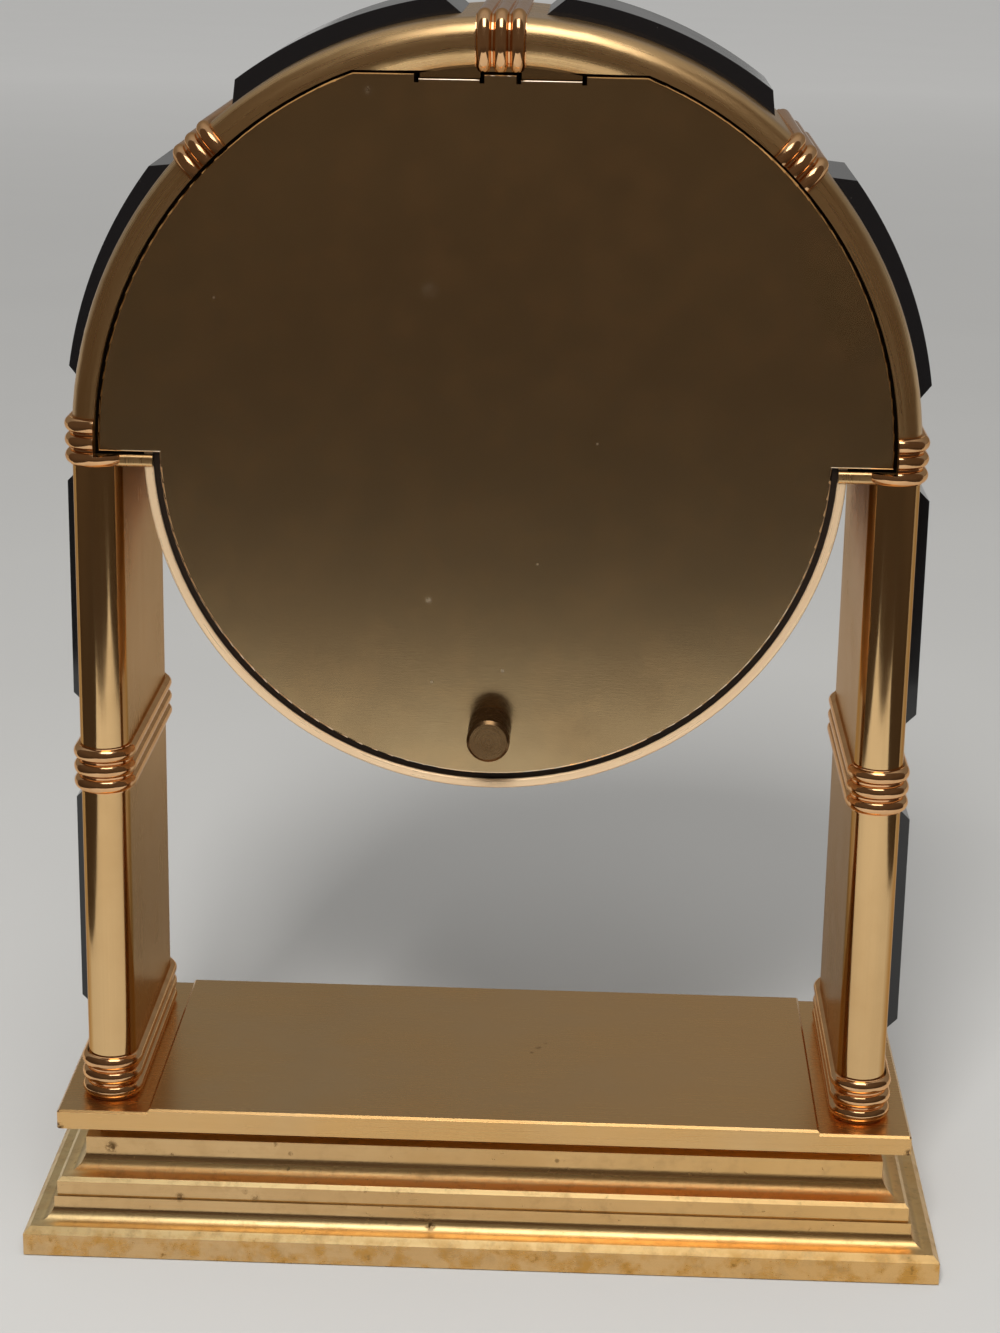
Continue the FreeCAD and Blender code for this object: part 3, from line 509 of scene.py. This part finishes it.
def clear_glass():
    """Window glass with faint smears."""
    made, tree, shader = start("clear_glass")
    smear = noise(tree, place(tree), 30.0, 4.0)
    tree.links.new(fade(tree, smear, 0.4, 0.8, 0.0, 0.04), shader.inputs["Roughness"])
    tree.links.new(blend(tree, fade(tree, smear, 0.3, 0.8), GLASS_CLEAR, GLASS_SMEAR),
                   shader.inputs["Base Color"])
    tree.links.new(bump(tree, smear, 0.000002), shader.inputs["Normal"])
    shader.inputs["Transmission Weight"].default_value = 1.0
    shader.inputs["IOR"].default_value = 1.5
    return made


def cell_jacket():
    """The cell's printed jacket, in two plain colours, with bare steel ends."""
    made, tree, shader = start("cell_jacket")
    low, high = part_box("battery")
    here = place(tree)
    spot = along(tree, "X")
    length = high.x - low.x
    band = fade(tree, spot, low.x + length * 0.66, low.x + length * 0.665)
    steel_end = fade(tree, spot, high.x - length * 0.035, high.x - length * 0.03)
    steel_start = fade(tree, spot, low.x + length * 0.01, low.x + length * 0.006)
    steel = math_node(tree, "MAXIMUM", steel_end, steel_start)
    scuff = noise(tree, here, 300.0, 4.0)
    body = blend(tree, band, JACKET_PALE, JACKET_BAND)
    body = blend(tree, fade(tree, scuff, 0.62, 0.8, 0.0, 0.3), body, JACKET_SCUFF)
    tree.links.new(blend(tree, steel, body, BARE_STEEL), shader.inputs["Base Color"])
    tree.links.new(steel, shader.inputs["Metallic"])
    tree.links.new(fade(tree, scuff, 0.3, 0.7, 0.22, 0.38), shader.inputs["Roughness"])
    tree.links.new(bump(tree, scuff, 0.000004), shader.inputs["Normal"])
    return made


def dress_nodes():
    """Gives every CAD node its finish."""
    steel = plated("bright_steel", STEEL, STEEL_STAIN, even, 0.25, 0.000006)[0]
    movement_brass = plated("movement_brass", BRASS, BRASS_STAIN, even, 0.28, 0.000006)[0]
    polished = polished_gold()
    collars = collar_gold()
    black = black_gloss()
    rose = rose_gold()
    dial_paint = moulded("ivory_dial_paint", DIAL_PAINT, 0.42, 2600.0, 0.000006)
    black_plastic = moulded("black_plastic", BLACK_PLASTIC, 0.45)
    white_plastic = moulded("white_plastic", WHITE_PLASTIC, 0.4)
    rubber = moulded("black_rubber", RUBBER, 0.8)
    hand_black = moulded("hand_black", HAND_BLACK, 0.3, 2600.0, 0.000003)
    finishes = {
        "base_moulding": satin_base_gold(), "base_top_slab": brushed_slab_gold(),
        "base_felt_pad": felt(), "tie_screws": steel, "arch_frame": satin_arch_gold(),
        "crown_collar": collars, "drum_case": rim_gold(), "bezel": rose, "glass": clear_glass(),
        "dial": dial_paint, "dial_spacer": rose, "hour_markers": polished,
        "back_door": door_brass(), "door_knob": knob_brass(),
        "movement_case": black_plastic, "movement_cover": black_plastic, "rubber_washer": rubber,
        "centre_nut": movement_brass, "setting_arbor": white_plastic,
        "setting_knob": white_plastic, "cannon_pinion": movement_brass,
        "minute_wheel": white_plastic, "hour_wheel": movement_brass, "seconds_arbor": steel,
        "hour_hand": hand_black, "minute_hand": hand_black, "second_hand": rose,
        "battery": cell_jacket(), "battery_contacts": steel,
    }
    for side in ("left_", "right_"):
        for place_name in ("foot", "middle", "shoulder", "arch"):
            finishes[side + place_name + "_collar"] = collars
        for level in ("lower", "upper"):
            finishes[side + level + "_column"] = polished
            finishes[side + level + "_column_strip"] = black
            finishes[side + level + "_arch_strip"] = black
    for name, node in nodes.items():
        node.data.materials.clear()
        node.data.materials.append(finishes[name])


# Smooth shading and soft edges on the CAD nodes

def smoothing_group():
    """Merges a node's loose triangles and shades them smooth, with sharp edges kept."""
    group = bpy.data.node_groups.new("smooth_by_angle", "GeometryNodeTree")
    group.interface.new_socket("Geometry", in_out="INPUT", socket_type="NodeSocketGeometry")
    group.interface.new_socket("Geometry", in_out="OUTPUT", socket_type="NodeSocketGeometry")
    make = group.nodes.new
    link = group.links.new
    merge = make("GeometryNodeMergeByDistance")
    merge.inputs["Distance"].default_value = 0.000002
    faces = make("GeometryNodeSetShadeSmooth")
    edges = make("GeometryNodeSetShadeSmooth")
    edges.domain = "EDGE"
    edges.inputs["Shade Smooth"].default_value = False
    angle = make("GeometryNodeInputMeshEdgeAngle")
    sharp = make("FunctionNodeCompare")
    sharp.inputs["B"].default_value = math.radians(24)
    link(make("NodeGroupInput").outputs[0], merge.inputs["Geometry"])
    link(merge.outputs[0], faces.inputs["Geometry"])
    link(faces.outputs[0], edges.inputs["Geometry"])
    link(angle.outputs["Unsigned Angle"], sharp.inputs["A"])
    link(sharp.outputs[0], edges.inputs["Selection"])
    link(edges.outputs[0], make("NodeGroupOutput").inputs[0])
    return group


def smooth_nodes():
    group = smoothing_group()
    for node in nodes.values():
        node.modifiers.new("smooth_by_angle", "NODES").node_group = group
        flat_faces = node.modifiers.new("flat_faces_stay_flat", "WEIGHTED_NORMAL")
        flat_faces.keep_sharp = True
        flat_faces.weight = 80


# Printing on the dial

def dial_numbers():
    """Plain hour numbers, printed inside the markers."""
    made = []
    for hour in range(1, 13):
        angle = math.radians(30 * hour)
        bpy.ops.object.select_all(action="DESELECT")
        spot = (drum_centre.x + NUMBERS_RADIUS * math.sin(angle), dial_low.y,
                drum_centre.z + NUMBERS_RADIUS * math.cos(angle))
        bpy.ops.object.text_add(location=spot, rotation=(math.radians(90), 0, 0))
        number = bpy.context.object
        number.data.body = str(hour)
        number.data.align_x = "CENTER"
        number.data.align_y = "CENTER"
        number.data.size = NUMBERS_SIZE
        number.data.extrude = PRINT_HEIGHT
        bpy.ops.object.convert(target="MESH")
        bpy.ops.object.transform_apply(location=True, rotation=True, scale=True)
        made.append(number)
    bpy.ops.object.select_all(action="DESELECT")
    for number in made:
        number.select_set(True)
    bpy.context.view_layer.objects.active = made[0]
    bpy.ops.object.join()
    piece = bpy.context.object
    piece.name = "dial_numbers"
    piece.data.materials.append(moulded("dial_ink", DIAL_INK, 0.5))
    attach(piece, "clock_body")


def printed_mark(low, high, width):
    """One line printed across the dial at twelve o'clock, with softened edges."""
    bpy.ops.object.select_all(action="DESELECT")
    middle = (drum_centre.x, dial_low.y, drum_centre.z + (low + high) / 2)
    bpy.ops.mesh.primitive_plane_add(size=1, location=middle, rotation=(math.radians(90), 0, 0))
    mark = bpy.context.object
    mark.scale = (width, high - low, 1)
    bpy.ops.object.transform_apply(location=True, rotation=True, scale=True)
    bpy.ops.object.mode_set(mode="EDIT")
    bpy.ops.mesh.select_all(action="SELECT")
    bpy.ops.mesh.extrude_region_move(TRANSFORM_OT_translate={"value": (0, -PRINT_HEIGHT, 0)})
    bpy.ops.mesh.select_all(action="SELECT")
    bpy.ops.mesh.normals_make_consistent(inside=False)
    bpy.ops.mesh.bevel(offset=PRINT_HEIGHT / 3, segments=1)
    bpy.ops.object.mode_set(mode="OBJECT")
    return mark


def minute_track():
    """Sixty minute marks round the edge of the dial."""
    inner_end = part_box("hour_markers")[1].z - drum_centre.z + TRACK_GAP
    first = printed_mark(inner_end, inner_end + MARK_LENGTH, MARK_WIDTH)
    marks = [first]
    there, back = Matrix.Translation(drum_centre), Matrix.Translation(-drum_centre)
    for minute in range(1, 60):
        copy = bpy.data.objects.new("minute_mark", first.data.copy())
        bpy.context.scene.collection.objects.link(copy)
        turn = Matrix.Rotation(math.radians(6 * minute), 4, "Y")
        copy.data.transform(there @ turn @ back)
        marks.append(copy)
    bpy.ops.object.select_all(action="DESELECT")
    for mark in marks:
        mark.select_set(True)
    bpy.context.view_layer.objects.active = first
    bpy.ops.object.join()
    first.name = "minute_track"
    first.data.materials.append(moulded("track_ink", TRACK_INK, 0.5))
    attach(first, "clock_body")


# Stage, lamps and camera

def stage_plane(name, size, spot, turn, stretch=(1, 1, 1)):
    """A plane of the stage, with its own material to be filled in."""
    bpy.ops.object.select_all(action="DESELECT")
    bpy.ops.mesh.primitive_plane_add(size=size, location=spot, rotation=turn)
    made = bpy.context.object
    made.name = name
    made.scale = stretch
    surface, tree, shader = start(name)
    made.data.materials.append(surface)
    return made, tree, shader


def pale_floor():
    """A pale floor that keeps its tone into the distance."""
    _, tree, shader = stage_plane("pale_floor", 14, (0, 0, 0), (0, 0, 0))
    here = place(tree)
    patch = noise(tree, here, 9.0, 4.0)
    tree.links.new(blend(tree, patch, FLOOR_PALE, tuple(c * 0.94 for c in FLOOR_PALE)),
                   shader.inputs["Base Color"])
    shader.inputs["Roughness"].default_value = 0.9
    ray = add(tree, "LightPath").outputs
    seen = math_node(tree, "MAXIMUM", ray["Is Camera Ray"], ray["Is Glossy Ray"])
    seen = math_node(tree, "MAXIMUM", seen, ray["Is Transmission Ray"])
    away = add(tree, "VectorMath", {0: here}, operation="LENGTH").outputs["Value"]
    far = fade(tree, away, 0.3, 2.2, 0.0, FAR_FLOOR_GLOW)
    shader.inputs["Emission Color"].default_value = FLOOR_GLOW
    tree.links.new(math_node(tree, "MULTIPLY", seen, far), shader.inputs["Emission Strength"])


def dark_cards():
    """Dark cards behind and at both sides, paler upward, seen only in the metal's reflections."""
    for number, (spot, turn, width) in enumerate(CARDS):
        upright = (math.radians(90), 0, math.radians(turn))
        card, tree, shader = stage_plane("dark_card_%d" % number, 1, spot, upright,
                                         (width, CARD_HEIGHT, 1))
        card.visible_camera = False
        card.visible_shadow = False
        card.visible_diffuse = False
        shader.inputs["Base Color"].default_value = (0, 0, 0, 1)
        shader.inputs["Specular IOR Level"].default_value = 0.0
        shader.inputs["Emission Color"].default_value = CARD_GLOW
        glow = fade(tree, along(tree, "Y"), -0.42, -0.27, 0.058, 0.096)
        tree.links.new(glow, shader.inputs["Emission Strength"])


def lamp(name, spot, size, power, colour):
    """A softbox aimed at the middle of the clock."""
    data = bpy.data.lights.new(name, "AREA")
    data.energy = power
    data.shape = "RECTANGLE"
    data.size, data.size_y = size
    data.color = colour
    made = bpy.data.objects.new(name, data)
    bpy.context.scene.collection.objects.link(made)
    made.location = spot
    toward = Vector(LAMPS_AIM) - Vector(spot)
    made.rotation_euler = toward.to_track_quat("-Z", "Y").to_euler()
    return made


def lamps():
    key = lamp("key_softbox", *KEY_LAMP, KEY_LIGHT)
    key.visible_glossy = False
    lamp("overhead_softbox", *OVERHEAD_LAMP, OVERHEAD_LIGHT)


def world():
    """Soft light, brighter overhead than low down."""
    made = bpy.data.worlds.new("studio")
    bpy.context.scene.world = made
    made.use_nodes = True
    tree = made.node_tree
    up = add(tree, "SeparateXYZ", {0: add(tree, "TexCoord").outputs["Generated"]}).outputs["Z"]
    level = fade(tree, up, 0.5, 0.85, 0.22, 0.42)
    back = tree.nodes["Background"]
    back.inputs["Color"].default_value = SKY_LIGHT
    tree.links.new(level, back.inputs["Strength"])


def camera():
    """The photograph's viewpoint, behind the clock and a little above it."""
    data = bpy.data.cameras.new("camera")
    data.sensor_width = 36.0
    data.lens = CAMERA_LENS
    data.clip_start = 0.01
    made = bpy.data.objects.new("camera", data)
    bpy.context.scene.collection.objects.link(made)
    heading = Matrix.Rotation(CAMERA_HEADING, 4, "Z")
    pitch = Matrix.Rotation(CAMERA_PITCH, 4, "X")
    roll = Matrix.Rotation(CAMERA_ROLL, 4, "Z")
    made.matrix_world = Matrix.Translation(CAMERA_PLACE) @ heading @ pitch @ roll
    bpy.context.scene.camera = made


bpy.context.scene.view_settings.view_transform = "Standard"
dress_nodes()
smooth_nodes()
dial_numbers()
minute_track()
pale_floor()
dark_cards()
lamps()
world()
camera()
